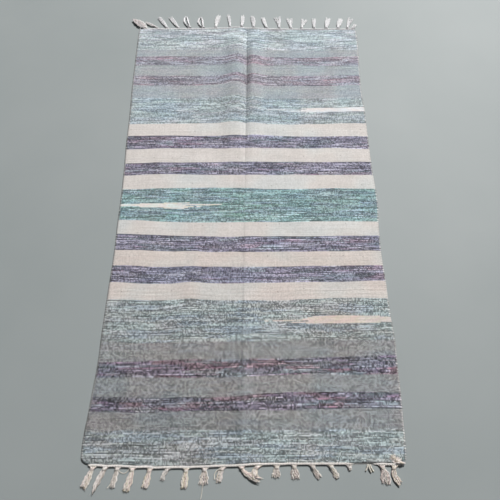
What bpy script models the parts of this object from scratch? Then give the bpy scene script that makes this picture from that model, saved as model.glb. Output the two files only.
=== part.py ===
"""A handmade flat-weave cotton rug with knotted warp ends, lying flat on a floor.

Metres, +Z up. X runs across the rug (its picks), Y runs along it (its warp), and the near end is at -Y.
The tables below are laid out about the middle of the cloth. At the end everything moves by one step, so
that the origin is on the floor under the middle of the whole rug, fringes included.

Three pieces: the woven cloth with its selvedges, and a comb of knotted warp ends at each end. Each comb is
the twined header that locks the last pick, with one tooth for each tassel that is tied from it.
"""

import math
from collections import namedtuple

import bmesh
import bpy

# ---------------------------------------------------------------- driving dimensions
WIDTH = 0.800  # selvedge to selvedge
LENGTH = 1.500  # header to header, headers included
CLOTH_THICKNESS = 0.0040  # two layers of thick weft, beaten down over the warp
SELVEDGE_THICKNESS = 0.0030  # the weft turns round the last warp, so the rim is a little thinner
HEADER_DEPTH = 0.0050  # the twined cord at each end
HEADER_THICKNESS = 0.0040
GAP = 0.0003  # between the cloth and each comb
FINE_STEP = 0.0068  # mesh step over the creases
COARSE_STEP = 0.036  # mesh step over flat cloth
STEP_GROWTH = 0.30  # how fast one turns into the other
ROWS_ALONG = 47  # mesh rows from header to header

KNOT_HALF_WIDTH = 0.0062
ROOT_HALF_WIDTH = 0.0046
NECK_HALF_WIDTH = 0.0042
KNOT_THICKNESS = 0.0075
TASSEL_THICKNESS = 0.0055
TIP_THICKNESS = 0.0038
RIM_SHARE = 0.55  # a tassel's rim is this share of its thickness, so that it is crowned

# ---------------------------------------------------------------- outline
# How far each selvedge stands out (+) or in (-) of the straight one, by the place along the rug.
Selvedge = namedtuple("Selvedge", "y left_out right_out")
SELVEDGES = [
    Selvedge(0.750, 0.0055, 0.0015),
    Selvedge(0.690, 0.0062, 0.0040),
    Selvedge(0.620, 0.0058, 0.0010),
    Selvedge(0.540, 0.0050, -0.0020),
    Selvedge(0.455, 0.0042, -0.0048),
    Selvedge(0.380, 0.0015, -0.0012),
    Selvedge(0.300, -0.0005, -0.0012),
    Selvedge(0.215, -0.0010, -0.0010),
    Selvedge(0.130, -0.0045, -0.0004),
    Selvedge(0.050, -0.0060, 0.0030),
    Selvedge(0.000, -0.0064, 0.0045),
    Selvedge(-0.075, -0.0058, -0.0012),
    Selvedge(-0.180, -0.0070, -0.0038),
    Selvedge(-0.260, -0.0048, -0.0008),
    Selvedge(-0.360, -0.0026, 0.0008),
    Selvedge(-0.430, -0.0014, 0.0052),
    Selvedge(-0.500, -0.0012, 0.0030),
    Selvedge(-0.570, 0.0030, 0.0026),
    Selvedge(-0.640, 0.0074, 0.0002),
    Selvedge(-0.695, 0.0110, -0.0014),
    Selvedge(-0.750, 0.0090, -0.0050),
]

# Where each end of the rug lies, by the place across it: positive is further out of the straight end.
End = namedtuple("End", "x far_out near_out")
ENDS = [
    End(-0.420, -0.0030, 0.0010),
    End(-0.330, -0.0025, 0.0024),
    End(-0.240, -0.0016, 0.0054),
    End(-0.150, 0.0006, 0.0052),
    End(-0.060, 0.0024, 0.0020),
    End(-0.018, 0.0030, 0.0008),
    End(0.010, 0.0018, -0.0012),
    End(0.060, 0.0004, -0.0022),
    End(0.140, -0.0008, -0.0030),
    End(0.255, -0.0002, -0.0029),
    End(0.330, 0.0004, -0.0022),
    End(0.420, 0.0010, -0.0010),
]

Corner = namedtuple("Corner", "side end radius")
CORNERS = [
    Corner(-1, -1, 0.017),
    Corner(+1, -1, 0.013),
    Corner(-1, +1, 0.005),
    Corner(+1, +1, 0.006),
]

# ---------------------------------------------------------------- folds
# The rug was stored folded in half along its length. Opened, it keeps a valley there with a ridge on each
# side over its far half, which die out to one low ridge near the other end. The rest are slight buckles.
# x and y: the crest's highest place. lean: how far the crest moves in x for each metre of y.
Fold = namedtuple("Fold", "name x y lean reach_near reach_far width_left width_right height")
FOLDS = [
    Fold("ridge_left_of_valley", -0.038, 0.575, 0.014, 0.50, 0.27, 0.066, 0.033, 0.0150),
    Fold("ridge_right_of_valley", 0.017, 0.580, 0.014, 0.56, 0.23, 0.021, 0.052, 0.0105),
    Fold("far_half_swell", -0.020, 0.360, 0.014, 0.34, 0.34, 0.110, 0.020, 0.0020),
    Fold("low_ridge_near_end", -0.016, -0.500, 0.014, 0.30, 0.33, 0.040, 0.028, 0.0038),
    Fold("quarter_buckle", -0.162, -0.260, 0.050, 0.15, 0.17, 0.055, 0.045, 0.0036),
    Fold("buckle_in_third_blue_band", -0.188, -0.400, -0.060, 0.09, 0.09, 0.034, 0.040, 0.0030),
    Fold("buckle_near_left", -0.198, -0.615, 0.000, 0.10, 0.09, 0.030, 0.036, 0.0024),
    Fold("buckle_by_left_selvedge", -0.300, -0.625, -0.080, 0.10, 0.11, 0.030, 0.040, 0.0026),
    Fold("buckle_in_white_bands", 0.150, 0.130, 0.060, 0.13, 0.16, 0.050, 0.050, 0.0018),
]

# ---------------------------------------------------------------- tassels
# Each row is one knotted bundle. root_x: where it leaves the header. mid and tip: steps from the root in x
# and outwards. width: of the fanned strands. lift: how high the tip lies off the floor.
Tassel = namedtuple("Tassel", "root_x mid_dx mid_out tip_dx tip_out width lift")
FAR_TASSELS = [
    Tassel(-0.385, -0.020, 0.020, -0.047, 0.040, 0.017, 0.004),
    Tassel(-0.338, -0.014, 0.012, -0.036, 0.021, 0.009, 0.003),
    Tassel(-0.302, -0.016, 0.028, -0.035, 0.057, 0.010, 0.0),
    Tassel(-0.259, -0.018, 0.030, -0.035, 0.058, 0.012, 0.0),
    Tassel(-0.216, -0.017, 0.034, -0.018, 0.063, 0.015, 0.0),
    Tassel(-0.166, -0.013, 0.028, -0.012, 0.059, 0.018, 0.0),
    Tassel(-0.121, 0.003, 0.032, 0.010, 0.066, 0.014, 0.0),
    Tassel(-0.068, -0.002, 0.034, -0.008, 0.068, 0.010, 0.0),
    Tassel(-0.025, 0.003, 0.032, 0.005, 0.064, 0.010, 0.0),
    Tassel(0.020, 0.000, 0.032, -0.004, 0.063, 0.014, 0.0),
    Tassel(0.071, -0.009, 0.028, -0.015, 0.057, 0.011, 0.0),
    Tassel(0.116, -0.001, 0.030, -0.006, 0.060, 0.014, 0.0),
    Tassel(0.161, -0.003, 0.028, -0.004, 0.055, 0.016, 0.0),
    Tassel(0.199, 0.007, 0.027, 0.014, 0.050, 0.014, 0.0),
    Tassel(0.247, 0.001, 0.027, 0.003, 0.053, 0.012, 0.0),
    Tassel(0.292, 0.005, 0.028, 0.012, 0.056, 0.015, 0.0),
    Tassel(0.336, 0.006, 0.026, 0.016, 0.052, 0.016, 0.0),
    Tassel(0.371, 0.007, 0.027, 0.018, 0.055, 0.012, 0.0),
    Tassel(0.389, 0.008, 0.011, 0.016, 0.024, 0.011, 0.0),
]
NEAR_TASSELS = [
    Tassel(-0.377, -0.009, 0.024, -0.019, 0.048, 0.017, 0.0),
    Tassel(-0.346, -0.015, 0.028, -0.026, 0.058, 0.013, 0.0),
    Tassel(-0.317, -0.004, 0.022, -0.010, 0.046, 0.012, 0.0),
    Tassel(-0.280, -0.005, 0.026, -0.014, 0.052, 0.018, 0.0),
    Tassel(-0.237, -0.005, 0.022, -0.010, 0.043, 0.017, 0.0),
    Tassel(-0.193, -0.008, 0.011, -0.013, 0.024, 0.010, 0.0),
    Tassel(-0.148, -0.002, 0.022, -0.004, 0.044, 0.017, 0.0),
    Tassel(-0.103, -0.001, 0.019, -0.003, 0.038, 0.017, 0.0),
    Tassel(-0.058, -0.007, 0.017, -0.009, 0.034, 0.014, 0.0),
    Tassel(-0.013, 0.007, 0.023, 0.034, 0.040, 0.010, 0.002),
    Tassel(0.030, -0.005, 0.011, -0.006, 0.021, 0.013, 0.0),
    Tassel(0.074, -0.001, 0.014, -0.003, 0.028, 0.015, 0.0),
    Tassel(0.117, 0.001, 0.016, 0.003, 0.032, 0.017, 0.0),
    Tassel(0.161, 0.009, 0.017, 0.018, 0.029, 0.013, 0.0),
    Tassel(0.206, 0.009, 0.015, 0.017, 0.029, 0.013, 0.0),
    Tassel(0.253, 0.001, 0.005, 0.001, 0.010, 0.008, 0.0),
    Tassel(0.302, 0.000, 0.006, -0.001, 0.013, 0.014, 0.0),
    Tassel(0.334, 0.006, 0.020, 0.006, 0.040, 0.019, 0.0),
    Tassel(0.362, 0.003, 0.021, 0.008, 0.043, 0.015, 0.001),
]
# One near bundle is thrown back over the cloth's corner: steps from its root in x and inwards.
THROWN_BACK = Tassel(0.382, -0.010, 0.013, -0.023, 0.024, 0.011, 0.0)
HEADER_FROM = {+1: -0.392, -1: -0.386}
HEADER_TO = {+1: 0.3965, -1: 0.3890}


# ---------------------------------------------------------------- shape rules
def eased(rows, key, column, at):
    """The column's value at a place, on a smooth curve through the rows."""
    rows = sorted(rows, key=lambda r: getattr(r, key))
    keys = [getattr(r, key) for r in rows]
    values = [getattr(r, column) for r in rows]
    if at <= keys[0]:
        return values[0]
    if at >= keys[-1]:
        return values[-1]
    i = max(k for k in range(len(keys) - 1) if keys[k] <= at)
    slopes = []
    for k in (i, i + 1):
        lo, hi = max(k - 1, 0), min(k + 1, len(keys) - 1)
        slopes.append((values[hi] - values[lo]) / (keys[hi] - keys[lo]))
    span = keys[i + 1] - keys[i]
    t = (at - keys[i]) / span
    return (
        values[i] * (2 * t**3 - 3 * t**2 + 1)
        + slopes[0] * span * (t**3 - 2 * t**2 + t)
        + values[i + 1] * (3 * t**2 - 2 * t**3)
        + slopes[1] * span * (t**3 - t**2)
    )


def swell(t):
    """1 at 0, falling smoothly to 0 at 1 and beyond."""
    return math.cos(math.pi / 2 * min(abs(t), 1.0)) ** 2


VALLEY_SIDE = {"ridge_left_of_valley": 1, "ridge_right_of_valley": -1}  # where each ridge drops into the crease


def floor_gap(x, y):
    """How high the cloth's underside is off the floor."""
    z = 0.0
    for f in FOLDS:
        along = y - f.y
        across = x - (f.x + f.lean * along)
        steep = 0.68 if across * VALLEY_SIDE.get(f.name, 0) > 0 else 1.0
        z += (
            f.height
            * swell(along / (f.reach_far if along > 0 else f.reach_near))
            * swell(across / (f.width_right if across > 0 else f.width_left)) ** steep
        )
    return z


def stations(low, high, fine_at, edge_step):
    """Places across the rug, close together over the creases and at the rims, further apart elsewhere."""

    def step(x):
        crease = FINE_STEP + STEP_GROWTH * max(0.0, abs(x - fine_at) - 0.045)
        rim = edge_step + STEP_GROWTH * min(x - low, high - x)
        return min(crease, rim, COARSE_STEP)

    xs, x = [low], low
    while x < high:
        x += step(x + 0.5 * step(x))
        xs.append(x)
    scale = (high - low) / (xs[-1] - low)
    return [low + (v - low) * scale for v in xs]


COLUMNS = stations(-WIDTH / 2, WIDTH / 2, -0.005, 0.008)


def end_line(x, end):
    """The y of the rug's end at x, on the straight runs between the mesh's columns."""
    column = "far_out" if end > 0 else "near_out"
    x = min(max(x, COLUMNS[0]), COLUMNS[-1])
    i = max(k for k in range(len(COLUMNS) - 1) if COLUMNS[k] <= x)
    a, b = COLUMNS[i], COLUMNS[i + 1]
    t = (x - a) / (b - a)
    out = (1 - t) * eased(ENDS, "x", column, a) + t * eased(ENDS, "x", column, b)
    return end * (LENGTH / 2 + out)


def rounded(p, q):
    """A square corner's place (p, q), each 0 inside to 1 at the rim, moved onto a quarter disc."""
    return p * math.sqrt(1 - q * q / 2), q * math.sqrt(1 - p * p / 2)


def cloth_place(x, s):
    """Where the cloth's point lies that is x across and s along, s from -1 at the near header to 1 at the far one."""
    far = end_line(x, +1) - HEADER_DEPTH - GAP
    near = end_line(x, -1) + HEADER_DEPTH + GAP
    y = near + (far - near) * (s + 1) / 2
    u = x / (WIDTH / 2)
    for c in CORNERS:
        across = c.radius - (WIDTH / 2 - c.side * x)
        along = c.radius - ((far - y) if c.end > 0 else (y - near))
        if across > 0 and along > 0:
            p, q = rounded(across / c.radius, along / c.radius)
            u -= c.side * (across - p * c.radius) / (WIDTH / 2)
            y -= c.end * (along - q * c.radius)
    column = "left_out" if u < 0 else "right_out"
    out = eased(SELVEDGES, "y", column, y)
    # a selvedge that stands out or in draws the picks beside it along, and fades by the middle
    x = u * WIDTH / 2 + math.copysign(out * abs(u) ** 3, u)
    return x, y


# ---------------------------------------------------------------- solids
def thickened(name, plan, faces, material):
    """A closed solid from a plan: each plan point is (x, y, low z, high z), each face a loop of them."""
    bm = bmesh.new()
    low = [bm.verts.new((x, y, z)) for x, y, z, _ in plan]
    high = [bm.verts.new((x, y, z)) for x, y, _, z in plan]
    rims = {}
    for loop in faces:
        bm.faces.new([high[i] for i in loop])
        bm.faces.new([low[i] for i in reversed(loop)])
        for a, b in zip(loop, loop[1:] + loop[:1]):
            rims[(a, b)] = rims.get((a, b), 0) + 1
    for a, b in rims:
        if (b, a) not in rims:
            bm.faces.new([high[b], high[a], low[a], low[b]])
    bmesh.ops.recalc_face_normals(bm, faces=bm.faces)
    mesh = bpy.data.meshes.new(name)
    bm.to_mesh(mesh)
    bm.free()
    mesh.shade_smooth()
    mesh.set_sharp_from_angle(angle=math.radians(40))
    mesh.materials.append(material)
    obj = bpy.data.objects.new(name, mesh)
    bpy.context.scene.collection.objects.link(obj)
    return obj


def woven_cloth(material):
    plan, faces = [], []
    n = len(COLUMNS)
    for j in range(ROWS_ALONG):
        # rows a little closer together towards the ends, where the corners are rounded
        t = -1 + 2 * j / (ROWS_ALONG - 1)
        s = 0.80 * t + 0.20 * math.sin(math.pi / 2 * t) ** 3 if abs(t) < 1 else t
        for i, column in enumerate(COLUMNS):
            x, y = cloth_place(column, s)
            rim = i in (0, n - 1) or j in (0, ROWS_ALONG - 1)
            z = floor_gap(x, y)
            plan.append((x, y, z, z + (SELVEDGE_THICKNESS if rim else CLOTH_THICKNESS)))
    for j in range(ROWS_ALONG - 1):
        for i in range(n - 1):
            a = j * n + i
            faces.append([a, a + 1, a + 1 + n, a + n])
    return thickened("woven_cloth", plan, faces, material)


def bent_path(root, mid, tip, t):
    """A point on the smooth bend through root, mid (halfway) and tip, and its direction."""
    out, way = [], []
    for a, m, b in zip(root, mid, tip):
        control = 2 * m - (a + b) / 2
        out.append((1 - t) ** 2 * a + 2 * t * (1 - t) * control + t * t * b)
        way.append(2 * (1 - t) * (control - a) + 2 * t * (b - control))
    length = math.hypot(*way)
    return out, [w / length for w in way]


# Along a tassel: the place, the share of its own width that it has there, and its thickness.
Section = namedtuple("Section", "t half_width spread thickness")
SECTIONS = [
    Section(0.13, KNOT_HALF_WIDTH, 0.00, KNOT_THICKNESS),
    Section(0.28, NECK_HALF_WIDTH, 0.15, 0.5 * (KNOT_THICKNESS + TASSEL_THICKNESS)),
    Section(0.62, NECK_HALF_WIDTH, 0.95, TASSEL_THICKNESS),
    Section(1.00, NECK_HALF_WIDTH, 0.85, TIP_THICKNESS),
]


def comb(name, end, tassels, thrown_back, material):
    """The header cord along one end, and a tooth for each tassel."""
    plan, faces = [], []

    def point(x, y, low, thickness):
        plan.append((x, y, low, low + thickness))
        return len(plan) - 1

    # places along the header: three for each tassel's root, and some between
    roots = {}
    places = {HEADER_FROM[end], HEADER_TO[end]}
    for tassel in tassels:
        low = max(tassel.root_x - ROOT_HALF_WIDTH, HEADER_FROM[end])
        high = min(tassel.root_x + ROOT_HALF_WIDTH, HEADER_TO[end])
        roots[tassel] = (low, (low + high) / 2, high)
        places.update(roots[tassel])
    back = ()
    if thrown_back:
        low, high = thrown_back.root_x - 0.0045, thrown_back.root_x + 0.0045
        back = (low, (low + high) / 2, high)
        places.update(back)
        places.add(low - 0.004)
    places = sorted(places)
    for a, b in zip(places, places[1:]):
        extra = max(0, math.ceil((b - a) / 0.024) - 1)
        places = places + [a + (b - a) * (k + 1) / (extra + 1) for k in range(extra)]
    places = sorted(places)

    inner, outer = {}, {}
    for x in places:
        y = end_line(x, end)
        z = floor_gap(x, y)
        outer[x] = point(x, y, z, HEADER_THICKNESS)
        lifted = x in back
        z_in = max(z, CLOTH_THICKNESS + 2 * GAP) if lifted else z
        inner[x] = point(x, y - end * HEADER_DEPTH, z_in, HEADER_THICKNESS)
    for a, b in zip(places, places[1:]):
        faces.append([inner[a], inner[b], outer[b], outer[a]])

    def tooth(first, root, tassel, out_sign, base):
        """Sections across the tassel's path, joined to three points of the header."""
        before = first
        mid = (root[0] + tassel.mid_dx, root[1] + out_sign * tassel.mid_out)
        tip = (root[0] + tassel.tip_dx, root[1] + out_sign * tassel.tip_out)
        reach = math.hypot(tassel.tip_dx, tassel.tip_out)
        sections = SECTIONS if reach > 0.020 else SECTIONS[1:]
        for s in sections:
            (x, y), (dx, dy) = bent_path(root, mid, tip, s.t)
            # near the header a section still lies along it
            turn = min(1.0, s.t / 0.5)
            dx, dy = dx * turn, dy * turn + out_sign * (1 - turn)
            dx, dy = dx / math.hypot(dx, dy), dy / math.hypot(dx, dy)
            half = s.half_width + s.spread * (tassel.width / 2 - s.half_width)
            z = base * (1 - s.t) ** 2 if out_sign == end else base
            z += tassel.lift * s.t**2
            # the first side is the one at lower x along the header
            nx, ny = (-dy, dx) if out_sign > 0 else (dy, -dx)
            now = []
            for k in (-1, 0, 1):
                share = 1.0 if k == 0 else RIM_SHARE
                now.append(point(x - k * nx * half, y - k * ny * half, z, s.thickness * share))
            for k in (0, 1):
                faces.append([before[k], before[k + 1], now[k + 1], now[k]])
            before = now

    for tassel, (low, middle, high) in roots.items():
        first = [outer[low], outer[middle], outer[high]]
        y = end_line(middle, end)
        tooth(first, (middle, y), tassel, end, floor_gap(middle, y))
    if thrown_back:
        first = [inner[x] for x in back]
        y = end_line(back[1], end) - end * HEADER_DEPTH
        tooth(first, (back[1], y), thrown_back, -end, CLOTH_THICKNESS + 2 * GAP)

    # faces of the near comb and of the bundle thrown back run the other way round
    turned = []
    for loop in faces:
        area = sum(
            plan[a][0] * plan[b][1] - plan[b][0] * plan[a][1]
            for a, b in zip(loop, loop[1:] + loop[:1])
        )
        turned.append(loop if area > 0 else loop[::-1])
    return thickened(name, plan, turned, material)


def plain_material(name, colour, roughness):
    material = bpy.data.materials.new(name)
    material.use_nodes = True
    shader = material.node_tree.nodes["Principled BSDF"]
    shader.inputs["Base Color"].default_value = (*colour, 1.0)
    shader.inputs["Roughness"].default_value = roughness
    shader.inputs["Metallic"].default_value = 0.0
    material.diffuse_color = (*colour, 1.0)
    return material


def main():
    for obj in list(bpy.data.objects):
        bpy.data.objects.remove(obj)
    pieces = [
        woven_cloth(plain_material("woven_stripes", (0.42, 0.44, 0.46), 0.95)),
        comb("fringe_far", +1, FAR_TASSELS, None, plain_material("pale_warp_ends", (0.72, 0.71, 0.70), 0.95)),
        comb("fringe_near", -1, NEAR_TASSELS, THROWN_BACK, plain_material("cream_warp_ends", (0.62, 0.55, 0.49), 0.95)),
    ]
    corners = [v.co for piece in pieces for v in piece.data.vertices]
    middle_x = (min(c.x for c in corners) + max(c.x for c in corners)) / 2
    middle_y = (min(c.y for c in corners) + max(c.y for c in corners)) / 2
    for piece in pieces:
        for v in piece.data.vertices:
            v.co.x -= middle_x
            v.co.y -= middle_y
    for piece in pieces:
        print(piece.name, len(piece.data.polygons), "faces, middle was at", round(middle_x, 5), round(middle_y, 5))


main()
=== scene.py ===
"""Looks of a handmade flat-weave cotton rug that lies on a plain pale floor.

Metres, +Z up. X runs across the rug (along its picks), Y along it (along its warp), the near end is at -Y.
The shape tables are laid out about the middle of the cloth, and rug_frame() moves them to the model's frame,
whose origin is on the floor under the middle of the whole rug, fringes included.

Pieces: the woven cloth, and at each end one fringe piece: the twisted header cord with its knotted bundles.
"""

import math
import random
from collections import namedtuple

import bpy
import numpy as np
from mathutils import Matrix, Vector


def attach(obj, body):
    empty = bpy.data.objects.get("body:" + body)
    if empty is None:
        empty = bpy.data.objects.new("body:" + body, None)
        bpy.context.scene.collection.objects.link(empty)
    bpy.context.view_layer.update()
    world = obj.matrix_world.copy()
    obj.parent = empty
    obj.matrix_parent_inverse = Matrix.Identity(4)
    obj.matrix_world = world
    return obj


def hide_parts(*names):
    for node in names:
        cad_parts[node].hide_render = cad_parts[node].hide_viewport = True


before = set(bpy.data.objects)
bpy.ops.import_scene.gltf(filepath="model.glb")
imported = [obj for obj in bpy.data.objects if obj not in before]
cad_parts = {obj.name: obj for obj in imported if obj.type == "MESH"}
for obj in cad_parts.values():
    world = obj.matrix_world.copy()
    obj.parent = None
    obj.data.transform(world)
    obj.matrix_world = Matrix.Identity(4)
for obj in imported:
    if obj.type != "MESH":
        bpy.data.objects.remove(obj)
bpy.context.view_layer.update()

# ---------------------------------------------------------------- sizes, as in the solids
MIDDLE = (-0.01335, 0.00479)  # the middle of the whole rug, from the middle of the cloth
WIDTH = 0.800
LENGTH = 1.500
CLOTH_THICKNESS = 0.0040
HEADER_DEPTH = 0.0050
GAP = 0.0003
PICKS = 496  # wefts from header to header, about 3 mm apart
WARP_PITCH = 0.0027
RIB_HEIGHT = 0.00042  # how far a pick stands above the grooves beside it

Selvedge = namedtuple("Selvedge", "y left_out right_out")
SELVEDGES = [
    Selvedge(0.750, 0.0055, 0.0015),
    Selvedge(0.690, 0.0062, 0.0040),
    Selvedge(0.620, 0.0058, 0.0010),
    Selvedge(0.540, 0.0050, -0.0020),
    Selvedge(0.455, 0.0042, -0.0048),
    Selvedge(0.380, 0.0015, -0.0012),
    Selvedge(0.300, -0.0005, -0.0012),
    Selvedge(0.215, -0.0010, -0.0010),
    Selvedge(0.130, -0.0045, -0.0004),
    Selvedge(0.050, -0.0060, 0.0030),
    Selvedge(0.000, -0.0064, 0.0045),
    Selvedge(-0.075, -0.0058, -0.0012),
    Selvedge(-0.180, -0.0070, -0.0038),
    Selvedge(-0.260, -0.0048, -0.0008),
    Selvedge(-0.360, -0.0026, 0.0008),
    Selvedge(-0.430, -0.0014, 0.0052),
    Selvedge(-0.500, -0.0012, 0.0030),
    Selvedge(-0.570, 0.0030, 0.0026),
    Selvedge(-0.640, 0.0074, 0.0002),
    Selvedge(-0.695, 0.0110, -0.0014),
    Selvedge(-0.750, 0.0090, -0.0050),
]
End = namedtuple("End", "x far_out near_out")
ENDS = [
    End(-0.420, -0.0030, 0.0010),
    End(-0.330, -0.0025, 0.0024),
    End(-0.240, -0.0016, 0.0054),
    End(-0.150, 0.0006, 0.0052),
    End(-0.060, 0.0024, 0.0020),
    End(-0.018, 0.0030, 0.0008),
    End(0.010, 0.0018, -0.0012),
    End(0.060, 0.0004, -0.0022),
    End(0.140, -0.0008, -0.0030),
    End(0.255, -0.0002, -0.0029),
    End(0.330, 0.0004, -0.0022),
    End(0.420, 0.0010, -0.0010),
]
Corner = namedtuple("Corner", "side end radius")
CORNERS = [
    Corner(-1, -1, 0.017),
    Corner(+1, -1, 0.013),
    Corner(-1, +1, 0.005),
    Corner(+1, +1, 0.006),
]
Fold = namedtuple("Fold", "name x y lean reach_near reach_far width_left width_right height")
FOLDS = [
    Fold("ridge_left_of_valley", -0.038, 0.575, 0.014, 0.50, 0.27, 0.066, 0.033, 0.0150),
    Fold("ridge_right_of_valley", 0.017, 0.580, 0.014, 0.56, 0.23, 0.021, 0.052, 0.0105),
    Fold("far_half_swell", -0.020, 0.360, 0.014, 0.34, 0.34, 0.110, 0.020, 0.0020),
    Fold("low_ridge_near_end", -0.016, -0.500, 0.014, 0.30, 0.33, 0.040, 0.028, 0.0038),
    Fold("quarter_buckle", -0.162, -0.260, 0.050, 0.15, 0.17, 0.055, 0.045, 0.0036),
    Fold("buckle_in_third_blue_band", -0.188, -0.400, -0.060, 0.09, 0.09, 0.034, 0.040, 0.0030),
    Fold("buckle_near_left", -0.198, -0.615, 0.000, 0.10, 0.09, 0.030, 0.036, 0.0024),
    Fold("buckle_by_left_selvedge", -0.300, -0.625, -0.080, 0.10, 0.11, 0.030, 0.040, 0.0026),
    Fold("buckle_in_white_bands", 0.150, 0.130, 0.060, 0.13, 0.16, 0.050, 0.050, 0.0018),
]
# The sharp bottom of the old fold: where it runs, how deep it is pressed in, and how much darker it is painted there,
# partly for being worn and partly as painted shade.
Crease = namedtuple("Crease", "y x depth wear")
CREASE = [
    Crease(0.750, -0.0030, 0.0009, 0.70),
    Crease(0.594, -0.0035, 0.0013, 1.00),
    Crease(0.409, -0.0045, 0.0011, 0.75),
    Crease(0.198, -0.0070, 0.0007, 0.40),
    Crease(0.009, -0.0095, 0.0006, 0.36),
    Crease(-0.163, -0.0110, 0.0005, 0.32),
    Crease(-0.319, -0.0120, 0.0005, 0.42),
    Crease(-0.461, -0.0140, 0.0006, 0.56),
    Crease(-0.592, -0.0150, 0.0005, 0.44),
    Crease(-0.750, -0.0180, 0.0003, 0.20),
]

# ---------------------------------------------------------------- bands of weft, from the far end
# near_y: where the band stops. wave: how far its last pick lies off that line, in mm, at WAVE_AT across.
WAVE_AT = [-0.368, -0.280, -0.160, -0.064, 0.064, 0.160, 0.280, 0.368]
Band = namedtuple("Band", "yarn near_y wave")
# the far end's bands use lighter, hazier copies of the near end's yarns: painted light
BANDS = [
    Band("blue_hazy", 0.6400, (-2, -1, 0, 2, 0, -2, -1, 2)),
    Band("grey_hazy", 0.6077, (-2, -1, 0, 1, -1, -3, -2, 3)),
    Band("rose_hazy", 0.5658, (-3, -3, 1, 1, -2, 2, -2, 2)),
    Band("grey_hazy", 0.5167, (-4, -4, -2, 1, 1, -2, 1, 4)),
    Band("rose_hazy", 0.4700, (-2, -4, -1, 4, -3, -4, -2, 4)),
    Band("grey_hazy", 0.4150, (-3, -3, 0, 2, -1, -3, 0, 4)),
    Band("blue_far", 0.3029, (-4, -2, 0, 3, -1, -3, 1, 4)),
    Band("white", 0.2521, (-2, 0, -1, 0, 3, -2, 0, 1)),
    Band("plum", 0.2017, (-5, -1, 0, -1, 2, 0, 4, 1)),
    Band("white", 0.1485, (-6, -2, -1, 1, 2, 2, 3, 4)),
    Band("plum", 0.0982, (-4, 2, 0, -1, 0, 1, 1, 2)),
    Band("white", 0.0487, (-5, 0, 2, 3, -1, -1, 2, 1)),
    Band("green", -0.0689, (4, 0, -4, -3, -2, 0, 2, 2)),
    Band("white", -0.1177, (5, 1, -2, -4, -1, -2, 1, 2)),
    Band("plum", -0.1683, (3, 0, -2, -3, -2, -1, 1, 3)),
    Band("cream", -0.2168, (1, -3, -3, -2, -2, 1, 3, 4)),
    Band("plum", -0.2679, (-1, -5, -2, -3, -1, 2, 3, 7)),
    Band("cream", -0.3189, (-1, -4, 0, -3, -3, 1, 6, 5)),
    Band("blue_near", -0.4389, (-4, -6, -1, -1, 0, 3, 3, 6)),
    Band("grey", -0.4869, (-10, -8, -2, -2, 1, 2, 7, 12)),
    Band("rose", -0.5325, (-5, -4, -4, -4, 2, 5, 4, 5)),
    Band("grey", -0.5792, (-6, -8, -7, -6, 4, 7, 8, 7)),
    Band("rose", -0.6197, (-4, -7, -2, -1, 0, 3, 5, 5)),
    Band("grey", -0.6680, (-3, -1, -1, 0, 0, 1, 2, 3)),
    Band("blue_near", -0.7500, None),
]
# Short wefts laid in from one selvedge: the rows they fill, and how far across the thick part and its thin
# tail reach.
# at_selvedge is the share of those rows that reach the selvedge.
Inlay = namedtuple("Inlay", "yarn side low_y high_y at_selvedge thick_to tail_y tail_to")
INLAYS = [
    Inlay("blue_far", +1, 0.3545, 0.3720, 1.0, 0.190, 0.3620, 0.068),
    Inlay("green", -1, -0.0235, -0.0045, 0.45, -0.190, -0.0120, -0.079),
    Inlay("blue_near", +1, -0.3890, -0.3700, 0.85, 0.168, -0.3810, 0.048),
]

# ---------------------------------------------------------------- fringe bundles, on the solids' own rows
Tassel = namedtuple("Tassel", "root_x mid_dx mid_out tip_dx tip_out width lift look tint")
FAR_TASSELS = [
    Tassel(-0.385, -0.019, 0.020, -0.047, 0.041, 0.031, 0.003, "leaf", 0.90),
    Tassel(-0.338, -0.018, 0.014, -0.046, 0.027, 0.012, 0.003, "thin", 0.80),
    Tassel(-0.302, -0.016, 0.028, -0.035, 0.057, 0.015, 0.0, "plain", 0.10),
    Tassel(-0.259, -0.018, 0.030, -0.035, 0.058, 0.015, 0.0, "plain", 0.10),
    Tassel(-0.216, -0.017, 0.034, -0.018, 0.063, 0.025, 0.0, "loop", 0.10),
    Tassel(-0.166, -0.013, 0.028, -0.012, 0.059, 0.028, 0.0, "loop", 0.45),
    Tassel(-0.121, 0.003, 0.032, 0.010, 0.066, 0.017, 0.0, "plain", 0.15),
    Tassel(-0.068, -0.002, 0.034, -0.008, 0.068, 0.012, 0.0, "thin", 0.10),
    Tassel(-0.025, 0.003, 0.032, 0.005, 0.064, 0.013, 0.0, "plain", 0.10),
    Tassel(0.020, 0.000, 0.032, -0.004, 0.063, 0.016, 0.0, "plain", 0.10),
    Tassel(0.071, -0.009, 0.028, -0.015, 0.057, 0.014, 0.0, "plain", 0.15),
    Tassel(0.116, -0.001, 0.030, -0.006, 0.060, 0.016, 0.0, "fork", 0.10),
    Tassel(0.161, -0.003, 0.028, -0.004, 0.055, 0.016, 0.0, "fork", 0.05),
    Tassel(0.199, 0.007, 0.027, 0.014, 0.050, 0.016, 0.0, "fork", 0.15),
    Tassel(0.247, 0.001, 0.027, 0.003, 0.053, 0.014, 0.0, "plain", 0.05),
    Tassel(0.292, 0.005, 0.028, 0.012, 0.056, 0.018, 0.0, "fat", 0.10),
    Tassel(0.336, 0.006, 0.026, 0.016, 0.052, 0.018, 0.0, "fat", 0.10),
    Tassel(0.371, 0.007, 0.027, 0.018, 0.055, 0.014, 0.0, "fork", 0.10),
    Tassel(0.389, 0.008, 0.011, 0.016, 0.024, 0.011, 0.0, "short", 0.10),
]
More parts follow.
